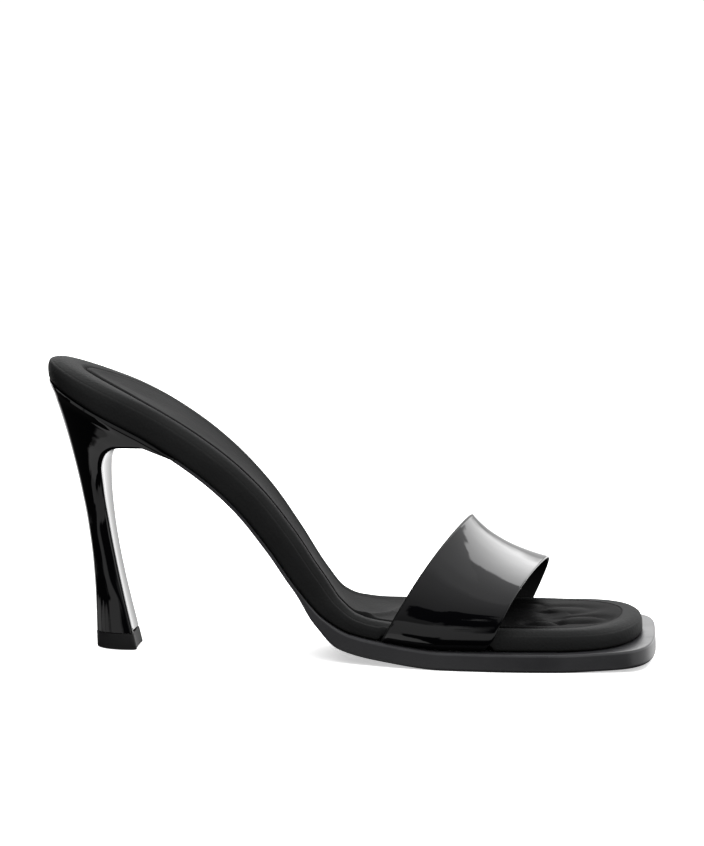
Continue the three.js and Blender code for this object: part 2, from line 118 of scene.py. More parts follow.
# Heel: lip under the footbed, the lip's inset, and the gap over the heel's drawn-in top
HEEL_LIP = 1.3
HEEL_INSET = 0.3
HEEL_TOP_GAP = 0.1
HEEL_FOOT_INSET = 0.35  # bevel at the foot of the heel
# Rounded edge of the breast, and the least flank behind it
BREAST_EDGE = 1.5
LEAST_FLANK = 0.3
# In the middle of the stem the edge is broader: along the flank, across. From, to and fade, as rises.
BROAD_EDGE = (2.1, 0.4)
BROAD_FROM, BROAD_TO, BROAD_FADE = 0.15, 0.56, 0.12
# Strap: rounding of the band's lower front corners, its height and its spread over the band
STRAP_CORNER, CORNER_HEIGHT, CORNER_POWER = 2.4, 6, 6
REAR_BEVEL = 1.7  # power of the rear edge's section: 1 is round, more is a bevel
# Inner face of the band and outer face of the lining, from the wall's middle, and the lining's set-back edge
BAND_INNER, LINING_OUTER, LINING_SET_BACK = -0.05, -0.1, 0.35

# Steps of the meshes
END_STEPS = 22
SIDE_STEPS = 200
BACK_STEPS = 40
EDGE_STEPS = 6
FLANK_SHARES = (0.25, 0.5, 0.75)
BREAST_STEPS = 8
HEEL_LEVELS = 70
LIP_SHARES = (0.33, 0.67)
ARCH_STEPS = 110
BAND_STEPS = 44
TUCK_STEPS = 3
TURN_STEPS = 18
RIM_STEPS = 8
SHARP_ANGLE = math.radians(40)
MM = 1000  # the frame is in metres

# Feather line: along, rise, spring
FEATHER = [
    (0, 1, 0), (0.09, 0.886, 0), (0.18, 0.776, 0), (0.26, 0.648, 0), (0.322, 0.514, 0), (0.375, 0.357, 0),
    (0.42, 0.207, 0), (0.464, 0.095, 0), (0.509, 0.041, 0), (0.571, 0.018, 0), (0.66, 0, 0), (0.84, 0, 0),
    (0.92, 0, 0.33), (1, 0, 1),
]
# Footbed in plan: along, lateral, medial, rim
PLAN = [
    (0, 0.343, 0.372, -0.15), (0.1, 0.35, 0.376, -0.15), (0.17, 0.35, 0.36, -0.15),
    (0.24, 0.34, 0.31, -0.15), (0.31, 0.322, 0.24, -0.15), (0.38, 0.315, 0.162, -0.1),
    (0.43, 0.323, 0.14, 0), (0.47, 0.35, 0.2, 0.15), (0.51, 0.385, 0.315, 0.38),
    (0.55, 0.423, 0.385, 0.5), (0.6, 0.465, 0.43, 0.62), (0.67, 0.5, 0.468, 0.78),
    (0.76, 0.513, 0.487, 0.9), (0.85, 0.497, 0.474, 1), (0.93, 0.468, 0.463, 1), (1, 0.44, 0.45, 1),
]
# Thickness: along, pad, sole, cup, bank
DEPTHS = [
    (0, 1, 0, 0.32, 0), (0.1, 0.955, 0, 0.34, 0), (0.21, 0.942, 0, 0.3, 0), (0.34, 0.955, 0, 0.16, 0.12),
    (0.415, 0.91, 0.02, 0.08, 0.19), (0.46, 0.78, 0.47, 0.06, 0.13), (0.5, 0.635, 0.96, 0.08, 0.03),
    (0.54, 0.565, 1, 0.12, 0), (0.59, 0.6, 1, 0.16, 0), (0.66, 0.66, 1, 0.16, 0), (0.8, 0.66, 1, 0.14, 0),
    (1, 0.6, 1, 0.06, 0),
]
# Heel: rise, breast rise, back, breast, half, round
HEEL = [
    (0, 0, 0.341, 0.657, 0.35, 0.8), (0.06, 0.06, 0.337, 0.629, 0.338, 0.8),
    (0.18, 0.18, 0.331, 0.572, 0.324, 0.8),
    (0.32, 0.32, 0.314, 0.512, 0.324, 0.8), (0.46, 0.46, 0.28, 0.463, 0.352, 0.8),
    (0.61, 0.595, 0.224, 0.43, 0.44, 0.82), (0.73, 0.675, 0.168, 0.422, 0.555, 0.88),
    (0.82, 0.73, 0.119, 0.455, 0.685, 0.92), (0.89, 0.761, 0.075, 0.56, 0.81, 0.92),
    (0.945, 0.765, 0.036, 0.754, 0.915, 0.85),
]
# Round ends: length, power, centre
FOOTBED_HEEL = (0.112, 2, 0)
FOOTBED_TOE = (0.1, 2.5, 0.04)
OUTSOLE_HEEL = (0.008, 3, 0)
OUTSOLE_TOE = (0.065, 3.2, 0.05)
SOCK_HEEL = (0.13, 1.8, 0)
SOCK_TOE = (0.1, 2.3, 0.04)


def mix(a, b, t):
    return a + (b - a) * t


def smooth(t):
    t = np.clip(t, 0, 1)
    return t * t * (3 - 2 * t)


def curve(rows, column):
    """Curve through a table's rows that never overshoots them. The rows' first column is the place."""
    u = np.array([row[0] for row in rows], float)
    v = np.array([row[column] for row in rows], float)
    chord = np.diff(v) / np.diff(u)
    slope = np.concatenate([chord[:1], np.zeros(len(u) - 2), chord[-1:]])
    for i in range(1, len(u) - 1):
        before, after = chord[i - 1], chord[i]
        slope[i] = 0 if before * after <= 0 else 2 * before * after / (before + after)

    def read(at, rate=False):
        x = np.clip(at, u[0], u[-1])
        i = np.minimum(np.searchsorted(u, x, side="right") - 1, len(u) - 2)
        step = u[i + 1] - u[i]
        t = (x - u[i]) / step
        a, b, rise = slope[i] * step, slope[i + 1] * step, v[i + 1] - v[i]
        if rate:
            return (a + t * (2 * (3 * rise - 2 * a - b) + 3 * t * (a + b - 2 * rise))) / step
        return v[i] + t * (a + t * (3 * rise - 2 * a - b + t * (a + b - 2 * rise)))

    return read


def lengthwise(rows, column):
    read = curve(rows, column)
    return lambda x: read(np.asarray(x, float) / LENGTH)


feather_rise, feather_spring = curve(FEATHER, 1), curve(FEATHER, 2)
lateral_share, medial_share, rim_share = (lengthwise(PLAN, k) for k in (1, 2, 3))
pad_share, sole_share, cup_share, bank_share = (lengthwise(DEPTHS, k) for k in (1, 2, 3, 4))


def lateral_edge(x):
    return lateral_share(x) * BALL_WIDTH


def medial_edge(x):
    return medial_share(x) * BALL_WIDTH


def pad_height(x):
    return pad_share(x) * FOOTBED_THICKNESS


def flush_share(x):
    """0 where the sock lies in its recess, 1 where it is flush with the footbed."""
    start, length = TOE_BED
    return smooth((x - start) / length)


def feather(x):
    """Height of the line where the footbed meets the sole, and its slope."""
    u = np.asarray(x, float) / LENGTH
    drop = SEAT_HEIGHT - SOLE_THICKNESS
    z = SOLE_THICKNESS + feather_rise(u) * drop + feather_spring(u) * TOE_SPRING
    slope = (feather_rise(u, True) * drop + feather_spring(u, True) * TOE_SPRING) / LENGTH
    return z, slope


def on_feather(x, y, h):
    """Points at the height h over the feather line, square to it except at the seat."""
    z, slope = feather(x)
    unit = np.hypot(1, slope)
    turn = smooth(x / SEAT_TURN)
    across = (y + lateral_edge(x)) / (lateral_edge(x) + medial_edge(x))
    fall = bank_share(x) * FOOTBED_THICKNESS * across
    return np.stack([x - turn * h * slope / unit, y, z + h / unit - fall], -1)


def even_places(start, end, count):
    """Places along the shoe that are even along the feather line."""
    x = np.linspace(start, end, 8 * count + 1)
    z, _ = feather(x)
    length = np.concatenate([[0], np.cumsum(np.hypot(np.diff(x), np.diff(z)))])
    return np.interp(np.linspace(0, length[-1], count + 1), length, x)


def outline(start, end, heel, toe, lateral, medial):
    """Outline in plan: heel tip, lateral side, toe tip, medial side."""
    angle = np.arange(END_STEPS) / END_STEPS * math.pi / 2

    def end_stations(spec, tip, inward):
        length, power, centre = spec
        x = tip + inward * length * LENGTH * (1 - np.cos(angle) ** (2 / power))
        return x, np.sin(angle) ** (2 / power), np.full(END_STEPS, centre * BALL_WIDTH)

    rear = end_stations(heel, start, 1)
    front = [row[::-1] for row in end_stations(toe, end, -1)]
    side = even_places(start + heel[0] * LENGTH, end - toe[0] * LENGTH, SIDE_STEPS)
    x = np.concatenate([rear[0], side, front[0]])
    reach = np.concatenate([rear[1], np.ones(len(side)), front[1]])
    centre = np.concatenate([rear[2], np.zeros(len(side)), front[2]])
    near = np.stack([x, mix(centre, -lateral(x), reach)], -1)
    far = np.stack([x, mix(centre, medial(x), reach)], -1)
    return np.concatenate([near, far[-2:0:-1]])


def finer(rows, steps):
    """The rows of a table with smooth in-between rows."""
    p = np.array(rows, float)
    out = []
    for i in range(len(p) - 1):
        before, after = p[max(i - 1, 0)], p[min(i + 2, len(p) - 1)]
        for k in range(steps):
            t = k / steps
            a, b = (p[i + 1] - before) / 2, (after - p[i]) / 2
            rise = p[i + 1] - p[i]
            out.append(p[i] + t * (a + t * (3 * rise - 2 * a - b + t * (a + b - 2 * rise))))
    return [*out, p[-1]]


# The design's zero point in the shared frame, in millimetres
heel_low, heel_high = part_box("top_piece")
origin = Vector((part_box("footbed")[0].x * MM, (heel_low.y + heel_high.y) * MM / 2, 0))


def solid(name, rings, material, node, trim=None):
    """Mesh object from rings of equal count. Point i of a ring faces point n - i: its ends close in strips.
    trim: a second material and a test that picks its faces by ring and place in the ring."""
    n = len(rings[0])
    points = (np.concatenate(rings) + np.array([origin.x, origin.y, 0])) / MM
    faces = []
    for k in range(len(rings) - 1):
        for i in range(n):
            a, b = k * n + i, k * n + (i + 1) % n
            faces.append((a, b, b + n, a + n))
    for start, turned in ((0, True), ((len(rings) - 1) * n, False)):
        for i in range(n // 2):
            corners = [i, i + 1, n - i - 1, (n - i) % n]
            corners = [start + c for j, c in enumerate(corners) if c not in corners[:j]]
            faces.append(tuple(reversed(corners)) if turned else tuple(corners))
    mesh = bpy.data.meshes.new(name)
    mesh.from_pydata(points.tolist(), [], faces)
    mesh.materials.append(material)
    if trim:
        mesh.materials.append(trim[0])
        for k in range((len(rings) - 1) * n):
            mesh.polygons[k].material_index = int(trim[1](k // n, k % n))
    mesh.validate()
    mesh.shade_smooth()
    mesh.set_sharp_from_angle(angle=SHARP_ANGLE)
    piece = bpy.data.objects.new(name, mesh)
    bpy.context.scene.collection.objects.link(piece)
    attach(piece, "root")
    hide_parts(node)
    return piece


# Materials
def new_material(name, color, roughness, **sockets):
    material = bpy.data.materials.new(name)
    material.use_nodes = True
    shader = material.node_tree.nodes["Principled BSDF"]
    shader.inputs["Base Color"].default_value = (*color, 1)
    shader.inputs["Roughness"].default_value = roughness
    for socket, value in sockets.items():
        shader.inputs[socket.replace("_", " ")].default_value = value
    return material, material.node_tree, shader


def node(tree, kind, inputs=None, **settings):
    made = tree.nodes.new(kind)
    for key, value in settings.items():
        setattr(made, key, value)
    for key, value in (inputs or {}).items():
        if isinstance(value, bpy.types.NodeSocket):
            tree.links.new(value, made.inputs[key])
        else:
            made.inputs[key].default_value = value
    return made


def object_point(tree):
    return node(tree, "ShaderNodeTexCoord").outputs["Object"]


def noise(tree, point, scale, detail=3.0, roughness=0.5):
    inputs = {"Vector": point, "Scale": scale, "Detail": detail, "Roughness": roughness}
    return node(tree, "ShaderNodeTexNoise", inputs).outputs["Fac"]


def ranged(tree, value, low, high, to_low, to_high):
    inputs = {"Value": value, "From Min": low, "From Max": high, "To Min": to_low, "To Max": to_high}
    return node(tree, "ShaderNodeMapRange", inputs).outputs["Result"]


def clouded(tree, cloud, low, high):
    """Stretches a noise's usual range to the given one."""
    return ranged(tree, cloud, 0.3, 0.7, low, high)


def bump(tree, height, distance, strength=1.0, normal=None):
    inputs = {"Height": height, "Distance": distance, "Strength": strength}
    if normal is not None:
        inputs["Normal"] = normal
    return node(tree, "ShaderNodeBump", inputs).outputs["Normal"]


def tinted(tree, shader, fac, dark, light):
    ramp = node(tree, "ShaderNodeMix", {"Factor": fac}, data_type="RGBA")
    ramp.inputs[6].default_value = (*dark, 1)
    ramp.inputs[7].default_value = (*light, 1)
    tree.links.new(ramp.outputs[2], shader.inputs["Base Color"])


def grained_leather(name, dark, light, rough, gloss, grain=0.00006, painted_light_fade=None):
    """Soft nappa: fine pebbled grain, pores and slow shifts of shade and polish.
    painted_light_fade: two places along the shoe, in metres, between which the colour falls to the dark one:
    painted light, a painted sheen towards the heel and painted shade towards the toe."""
    material, tree, shader = new_material(name, dark, rough, Specular_IOR_Level=gloss)
    point = object_point(tree)
    cells = node(tree, "ShaderNodeTexVoronoi", {"Vector": point, "Scale": 1150.0}, feature="SMOOTH_F1")
    pores = noise(tree, point, scale=2600.0, detail=2.0)
    cloud = noise(tree, point, scale=34.0)
    # Painted light: the colour falls from the light tone to the dark one along the shoe, a painted sheen
    # behind, painted shade in front.
    if painted_light_fade:
        along = node(tree, "ShaderNodeSeparateXYZ", {"Vector": point}).outputs["X"]
        factors = {0: clouded(tree, cloud, 0.55, 1.0), 1: ranged(tree, along, *painted_light_fade, 1.0, 0.0)}
        shade = node(tree, "ShaderNodeMath", factors, operation="MULTIPLY").outputs["Value"]
    else:
        shade = clouded(tree, cloud, 0.0, 1.0)
    tinted(tree, shader, shade, dark, light)
    tree.links.new(clouded(tree, cloud, rough - 0.04, rough + 0.06), shader.inputs["Roughness"])
    creases = noise(tree, point, scale=210.0, detail=4.0, roughness=0.6)
    creased = bump(tree, creases, distance=0.00012, strength=0.5)
    pebbled = bump(tree, cells.outputs["Distance"], grain * 2, strength=0.8, normal=creased)
    tree.links.new(bump(tree, pores, grain, strength=0.5, normal=pebbled), shader.inputs["Normal"])
    return material


def patent(name, color, wave_scale, wave_height):
    """Lacquered leather: a clear glassy coat with a slow ripple and a trace of fine dust and rub marks."""
    material, tree, shader = new_material(name, color, roughness=0.05, Specular_IOR_Level=0.5)
    point = object_point(tree)
    marks = noise(tree, point, scale=90.0, detail=6.0, roughness=0.65)
    rubbed = ranged(tree, marks, low=0.45, high=0.75, to_low=0.035, to_high=0.085)
    tree.links.new(rubbed, shader.inputs["Roughness"])
    rippled = bump(tree, noise(tree, point, wave_scale, detail=2.0), wave_height)
    dust = noise(tree, point, scale=900.0, detail=2.0)
    tree.links.new(bump(tree, dust, distance=0.000004, normal=rippled), shader.inputs["Normal"])
    return material


def sole_material(name, dark, light, rough):
    """Painted sole: fine sanded texture along its edge, with slight unevenness."""
    material, tree, shader = new_material(name, dark, rough, Specular_IOR_Level=0.5)
    point = object_point(tree)
    cloud = noise(tree, point, scale=60.0, detail=4.0)
    tinted(tree, shader, clouded(tree, cloud, 0.0, 1.0), dark, light)
    tree.links.new(clouded(tree, cloud, rough - 0.05, rough + 0.07), shader.inputs["Roughness"])
    stretched = node(tree, "ShaderNodeMapping", {"Vector": point, "Scale": (0.12, 1.0, 1.0)})
    grain = noise(tree, stretched.outputs["Vector"], scale=2200.0, detail=2.0)
    tree.links.new(bump(tree, grain, distance=0.00003, strength=0.6), shader.inputs["Normal"])
    return material


def rubber_material(name, dark, light, rough):
    """Moulded rubber: matt and finely pitted, with a cloudy shade."""
    material, tree, shader = new_material(name, dark, rough, Specular_IOR_Level=0.3)
    point = object_point(tree)
    tinted(tree, shader, noise(tree, point, scale=130.0, detail=4.0), dark, light)
    pits = noise(tree, point, scale=2400.0, detail=2.0)
    tree.links.new(bump(tree, pits, distance=0.00005, strength=0.7), shader.inputs["Normal"])
    return material


LACQUER = (0.0016, 0.0016, 0.0022)
leather = grained_leather(
    "footbed_nappa", dark=(0.0117, 0.0119, 0.012), light=(0.0155, 0.0158, 0.0159), rough=0.55, gloss=0.027
)
# The sock's colour carries painted light: lighter towards the heel as a painted sheen, falling to dark
# towards the toe as painted shade.
satin = grained_leather(
    "sock_satin",
    dark=(0.0032, 0.0032, 0.0033),
    light=(0.0094, 0.0095, 0.0097),
    rough=0.5,
    gloss=0.013,
    grain=0.00003,
    painted_light_fade=(-0.02, 0.055),
)
lining = grained_leather(
    "lining", dark=(0.008, 0.008, 0.0082), light=(0.014, 0.014, 0.0145), rough=0.6, gloss=0.08
)
band_patent = patent("band_patent", LACQUER, wave_scale=42.0, wave_height=0.00022)
heel_patent = patent("heel_patent", LACQUER, wave_scale=60.0, wave_height=0.00006)
sole_paint = sole_material(
    "sole_paint", dark=(0.0215, 0.0215, 0.0232), light=(0.028, 0.028, 0.03), rough=0.36
)
# Pale line along the sole's top edge: partly the sole's own pale edge, partly a painted highlight on the
# edge's rounded shoulder.
pale_edge_and_highlight = sole_material("pale_edge_and_highlight", dark=(0.034, 0.034, 0.036), light=(0.055, 0.055, 0.058), rough=0.3)
edge_paint = sole_material("edge_paint", dark=(0.002, 0.002, 0.002), light=(0.004, 0.004, 0.004), rough=0.5)
rubber = rubber_material(
    "top_piece_rubber", dark=(0.005, 0.005, 0.0054), light=(0.012, 0.012, 0.0125), rough=0.62
)

# Footbed
footbed_edge = outline(0, LENGTH - RIM, FOOTBED_HEEL, FOOTBED_TOE, lateral_edge, medial_edge)


def sock_edge(clearance):
    return outline(
        SOCK_HEEL_MARGIN + clearance,
        LENGTH - RIM - SOCK_MARGIN - clearance,
        SOCK_HEEL,
        SOCK_TOE,
        lambda x: lateral_edge(x) - SOCK_MARGIN - clearance,
        lambda x: medial_edge(x) - SOCK_MARGIN - clearance,
    )


# In from the edge, up the wall
FOOTBED_RINGS = [
    (0.12, 0), (0.03, 0.07), (0, 0.2), (0, 0.48), (0.05, 0.68), (0.085, 0.735), (0.1, 0.75), (0.12, 0.765),
    (0.18, 0.83), (0.36, 0.95), (0.58, 1), (0.82, 1), (0.93, 0.965), (1, 0.86),
]


def tucked(x, medial):
    """1 where the strap's ends go in under the footbed, 0 elsewhere."""
    rear = STRAP_REAR + medial * STRAP_SKEW
    before = smooth((x - rear + TUCK_BEFORE) / TUCK_RAMP)
    after = smooth((rear + STRAP_WIDTH + TUCK_AFTER - x) / TUCK_RAMP)
    return before * after


def footbed():
    inner = sock_edge(0)
    along = footbed_edge[:, 0]
    (line_start, fade_in), (line_end, fade_out) = WALL_LINE_START, WALL_LINE_END
    on_shank = smooth((along - line_start) / fade_in) * smooth((line_end - along) / fade_out)
    rings = []

    def ring(inward, height, recess=0.0):
        p = mix(footbed_edge, inner, (inward + recess / SOCK_MARGIN * on_shank)[:, None])
        rings.append(on_feather(p[:, 0], p[:, 1], height(p[:, 0], p[:, 1])))

    def step(x, y):
        return tucked(x, (y > 0).astype(float)) * (STRAP_WALL + GAP)

    def wall(inward, up):
        def height(x, y):
            rim_start, rim_width = TOE_BED_RIM
            share = mix(up, max(up, 1), flush_share(x) * smooth((inward - rim_start) / rim_width))
            return mix(step(x, y), pad_height(x), share)

        return height

    ring(UNDERSIDE_INWARD / SOCK_MARGIN, lambda x, y: 0 * x)
    ring(TUCK_INWARD / SOCK_MARGIN, step)
    place, width, depth = WALL_LINE
    fade_start, fade_width = WALL_LINE_FADE
    for inward, up in finer(FOOTBED_RINGS, steps=5):
        fade = 1 - smooth((inward - fade_start) / fade_width)
        ring(inward, wall(inward, up), depth * smooth((up - place) / width) * fade)
    ring(1, lambda x, y: pad_height(x) - SOCK_DEPTH)
    return solid("footbed_leather", rings, leather, "footbed")


# Sock: out, up, cup. First its edge, then the panel, which starts with the edge's last row.
SOCK_EDGE_RINGS = [
    (0.985, 0, 0), (1, 0.15, 0), (1, 0.66, 0), (0.985, 0.92, 0), (0.955, 1.05, 0), (0.91, 1.05, 0.02),
    (0.84, 1, 0.1),
]
SOCK_PANEL_RINGS = [SOCK_EDGE_RINGS[-1], (0.66, 1, 0.45), (0.44, 1, 0.8), (0.22, 1, 1)]


def fold_relief(x, y):
    along, across = np.array(finer(FOLD, steps=6)).T
    away = np.min(np.hypot(x[:, None] - along, (y[:, None] - across) * FOLD_SPREAD), axis=1)
    return FOLD_HEIGHT * np.exp(-((away / FOLD_WIDTH) ** 2))


def toe_relief(x, y):
    relief = 0 * x
    for along, across, half_length, half_width, depth in TOE_DIMPLES:
        r = np.hypot((x - along) / half_length, (y - across) / half_width)
        swell = SWELL_HEIGHT * np.exp(-((r / SWELL_RADIUS) ** 2))
        relief += depth * (swell - np.exp(-(((r - 1) / DIMPLE_GROOVE) ** 2)))
    return relief * PRESSED


def sock():
    start, length = GROOVE_CLOSES
    edge = mix(sock_edge(SOCK_GROOVE), sock_edge(-SOCK_LAP), smooth((sock_edge(0)[:, :1] - start) / length))
    n = len(edge)
    facing = edge[(n - np.arange(n)) % n]
    middle = np.stack([mix(edge[:, 0], LENGTH / 2, SOCK_GATHER), (edge[:, 1] + facing[:, 1]) / 2], -1)
    thickness = SOCK_DEPTH - GAP
    sink, sink_start, sink_width = SOCK_SUNK
    rings = []
    for out, up, cup in [*finer(SOCK_EDGE_RINGS, steps=4), *finer(SOCK_PANEL_RINGS, steps=9)[1:]]:
        p = mix(middle, edge, out)
        x, y = p[:, 0], p[:, 1]
        flush = flush_share(x)
        share = mix(up, min(up, 1), flush)
        sunk = sink * flush * smooth((out - sink_start) / sink_width)
        height = pad_height(x) - thickness * (1 - share) - cup_share(x) * SOCK_DEPTH * cup - sunk
        relief = toe_relief(x, y) + fold_relief(x, y)
        rings.append(on_feather(x, y, height + relief * smooth((1 - out) / SOCK_PLAIN)))
    return solid("sock_panel", rings, satin, "sock")


# Outsole: inset, up
OUTSOLE_RINGS = [
    (7, 0), (6.6, 0.0), (6.3, 0.05), (5.7, 0.05), (5.4, 0.0), (3, 0), (0.9, 0), (0.55, 0.015), (0.25, 0.06),
    (0.06, 0.12), (0, 0.2), (0, 0.5), (0, 0.86), (0.03, 0.9), (0.1, 0.945), (0.24, 0.98), (0.45, 1), (1.4, 1),
]
SOLE_TRIM = range(12, 14)  # the strips between rings that make the pale line along the top edge: partly the sole's own pale edge, partly a painted highlight on its rounded shoulder


def outsole():
    start = SEAT_LENGTH - OUTSOLE_LAP
    rings = []
    for inset, up in OUTSOLE_RINGS:
        p = outline(
            start + inset * OUTSOLE_REAR_INSET,
            LENGTH - inset,
            OUTSOLE_HEEL,
            OUTSOLE_TOE,
            lambda x: lateral_edge(x) + rim_share(x) * RIM - inset,
            lambda x: medial_edge(x) + rim_share(x) * RIM - inset,
        )
        x, y = p[:, 0], p[:, 1]
        depth = mix(SHANK_THICKNESS, SOLE_THICKNESS, sole_share(x))
        rings.append(on_feather(x, y, mix(-depth, -GAP, up)))
    pale_line = (pale_edge_and_highlight, lambda k, i: k in SOLE_TRIM)
    return solid("outsole_sheet", rings, sole_paint, "outsole", trim=pale_line)


# Heel
breast_rise, heel_back, heel_breast, heel_half, heel_round = (curve(HEEL, k) for k in (1, 2, 3, 4, 5))
seat_half = (lateral_edge(SEAT_LENGTH / 2) + medial_edge(SEAT_LENGTH / 2)) / 2


def d_shape(depth, rounding, hollow, half, place, edge=BREAST_EDGE, turn_in=BREAST_EDGE):
    """Ring with a round back and a hollowed breast. half gives its half width at a depth, on a side. place
    gives the point at a depth and a y. edge, turn_in: rounding of the breast's edge, along and across."""

    def on_side(side):
        angle = np.arange(BACK_STEPS + 1) / BACK_STEPS * math.pi / 2
        u = rounding * (1 - np.cos(angle))
        points = list(zip(u, half(u, side) * np.sin(angle)))
        for t in FLANK_SHARES:
            flank = mix(rounding, depth - edge, t)
            points.append((flank, half(flank, side)))
        for k in range(EDGE_STEPS + 1):
            turn = k / EDGE_STEPS * math.pi / 2
            flank = depth - edge * (1 - math.sin(turn))
            points.append((flank, half(flank, side) - turn_in * (1 - math.cos(turn))))
        widest = half(depth, side) - turn_in
        for share in np.linspace(1, 0, BREAST_STEPS + 1)[1:]:
            points.append((depth - hollow * (1 - share**2), widest * share))
        return [place(u, side * v) for u, v in points]

    return np.array([*on_side(-1), *reversed(on_side(1)[1:-1])])


def heel_ring(rise, inset=0.0):
    back = float(heel_back(rise)) * SEAT_LENGTH + inset
    breast = float(heel_breast(rise)) * SEAT_LENGTH - inset
    back_z, breast_z = rise * SEAT_HEIGHT, float(breast_rise(rise)) * SEAT_HEIGHT
    half = float(heel_half(rise)) * seat_half - inset
    depth = math.hypot(breast - back, breast_z - back_z)

    def place(u, y):
        share = u / depth
        return (mix(back, breast, share), y, mix(back_z, breast_z, share))

    broad = float(smooth((rise - BROAD_FROM) / BROAD_FADE) * smooth((BROAD_TO - rise) / BROAD_FADE))
    edge, turn_in = (BREAST_EDGE + broad * more for more in BROAD_EDGE)
    rounding = min(float(heel_round(rise)) * depth, depth - edge - LEAST_FLANK)
    hollow = half * BREAST_HOLLOW
    return d_shape(depth, rounding, hollow, lambda u, side: half + 0 * u, place, edge, turn_in)


def seat_ring(drop, inset):
    def half(u, side):
        return (lateral_edge(u) if side < 0 else medial_edge(u)) - inset

    def place(u, y):
        return (u + inset, y, float(feather(u + inset)[0]) - drop)

    slope = float(feather(SEAT_LENGTH)[1])
    front = SEAT_LENGTH + drop * slope / math.hypot(1, slope)
    return d_shape(front - inset, FOOTBED_HEEL[0] * LENGTH - inset, 0, half, place)


def heel():
    bottom = (TOP_PIECE_HEIGHT + GAP) / SEAT_HEIGHT
    levels = np.linspace(bottom, HEEL[-1][0], HEEL_LEVELS)
    rings = [heel_ring(bottom, HEEL_FOOT_INSET), *(heel_ring(level) for level in levels)]
    last, lip = rings[-1], seat_ring(HEEL_LIP, HEEL_INSET)
    rings += [mix(last, lip, t) for t in LIP_SHARES]
    rings += [lip, seat_ring(GAP, HEEL_INSET), seat_ring(HEEL_TOP_GAP, HEEL_INSET + GAP)]
    return solid("heel_cover", rings, heel_patent, "heel")


# Top piece: share of its height, rise added to that, inset
TOP_PIECE_RINGS = [(0, 0, 0.5), (0, 0.0016, 0.15), (0, 0.005, 0), (1, -0.003, 0), (1, 0, 0.2)]


def top_piece():
    top = TOP_PIECE_HEIGHT / SEAT_HEIGHT
    rings = [heel_ring(share * top + rise, inset) for share, rise, inset in TOP_PIECE_RINGS]
    return solid("heel_top_piece", rings, rubber, "top_piece")


# Strap
def strap_line(band):
    """Line over the shoe in the middle of the wall, end to end. band: 0 at the rear edge, 1 at the front."""
    rear = STRAP_REAR + band * STRAP_WIDTH
    lean = math.tan(mix(STRAP_REAR_LEAN, STRAP_FRONT_LEAN, band))
    sag = 4 * band * (1 - band) * STRAP_SAG
    height = mix(STRAP_REAR_HEIGHT, STRAP_FRONT_HEIGHT, band) - sag - STRAP_WALL / 2
    spread = mix(*ARCH_SPREAD, band)
    wall = GAP + STRAP_WALL / 2
    low = STRAP_WALL / 2
    bases = float(feather(rear)[0]), float(feather(rear + STRAP_SKEW)[0])

    def at(y, up, share):
        corner = STRAP_CORNER * band**CORNER_POWER * max(0, 1 - up / CORNER_HEIGHT) ** 2
        return (rear + share * STRAP_SKEW + up * lean - corner, y, mix(*bases, share) + up)

    def side(medial):
        share, sign = (1, 1) if medial else (0, -1)

        def edge(up):
            x = rear + share * STRAP_SKEW + up * lean
            return float(medial_edge(x) if medial else lateral_edge(x))

        sweep = TURN_RADIUS + STRAP_BULGE
        tuck = np.linspace(-STRAP_TUCK, wall - TURN_RADIUS, TUCK_STEPS + 1)[:-1]
        points = [at(sign * (edge(low) + out), low, share) for out in tuck]
        for turn in np.linspace(math.pi / 2, 0, TURN_STEPS + 1)[:-1]:
            up = STRAP_SHOULDER - (STRAP_SHOULDER - low) * math.sin(turn)
            out = edge(up) + wall + STRAP_BULGE - sweep * (1 - math.cos(turn))
            points.append(at(sign * out, up, share))
        return points, sign * (edge(STRAP_SHOULDER) + wall + STRAP_BULGE)

    lateral, near = side(False)
    medial, far = side(True)
    arch = []
    for i in range(ARCH_STEPS + 1):
        angle = i / ARCH_STEPS * math.pi
        out = abs(math.cos(angle)) ** (2 / spread)
        up = abs(math.sin(angle)) ** (2 / ARCH_RISE)
        y = mix(STRAP_APEX * BALL_WIDTH, near if i < ARCH_STEPS / 2 else far, out)
        arch.append(at(y, mix(STRAP_SHOULDER, height, up), (y - near) / (far - near)))
    return np.array([*lateral, *arch, *reversed(medial)])


def strap_grid():
    """Middle surface of the band, its outward normals and directions across, as arrays [band][around]."""
    lines = np.array([strap_line(j / BAND_STEPS) for j in range(BAND_STEPS + 1)])
    across = np.gradient(lines, axis=0)
    along = np.gradient(lines, axis=1)
    normal = np.cross(across, along)
    normal /= np.linalg.norm(normal, axis=2, keepdims=True)
    across /= np.linalg.norm(across, axis=2, keepdims=True)
    return lines, normal, across


def strap_layer(name, material, inner, outer, set_back):
    """One layer of the band between two offsets from its middle surface, with rounded long edges."""
    lines, normal, across = strap_grid()
    edge = STRAP_WALL / 2 - set_back
    radius = (outer - inner) / 2
    centre = (outer + inner) / 2
    rings = []
    for i in range(lines.shape[1]):
        face = [lines[j, i] + normal[j, i] * outer for j in range(BAND_STEPS + 1)]
        back = [lines[j, i] + normal[j, i] * inner for j in range(BAND_STEPS, -1, -1)]

        def rim(j, sign, power):
            points = []
            for k in range(1, RIM_STEPS):
                turn = k / RIM_STEPS * math.pi
                rise = math.copysign(abs(math.cos(turn)) ** power, math.cos(turn)) * radius
                past = edge - radius + math.sin(turn) ** power * radius
                points.append(lines[j, i] + normal[j, i] * (centre + rise) + across[j, i] * sign * past)
            return points

        front, rear = rim(-1, 1, 1), rim(0, -1, REAR_BEVEL)
        rings.append(np.array([*face, *front, *back, *reversed(rear)]))
    painted_edge = (edge_paint, lambda k, i: i >= 2 * BAND_STEPS + RIM_STEPS)
    return solid(name, rings, material, "strap", trim=painted_edge)


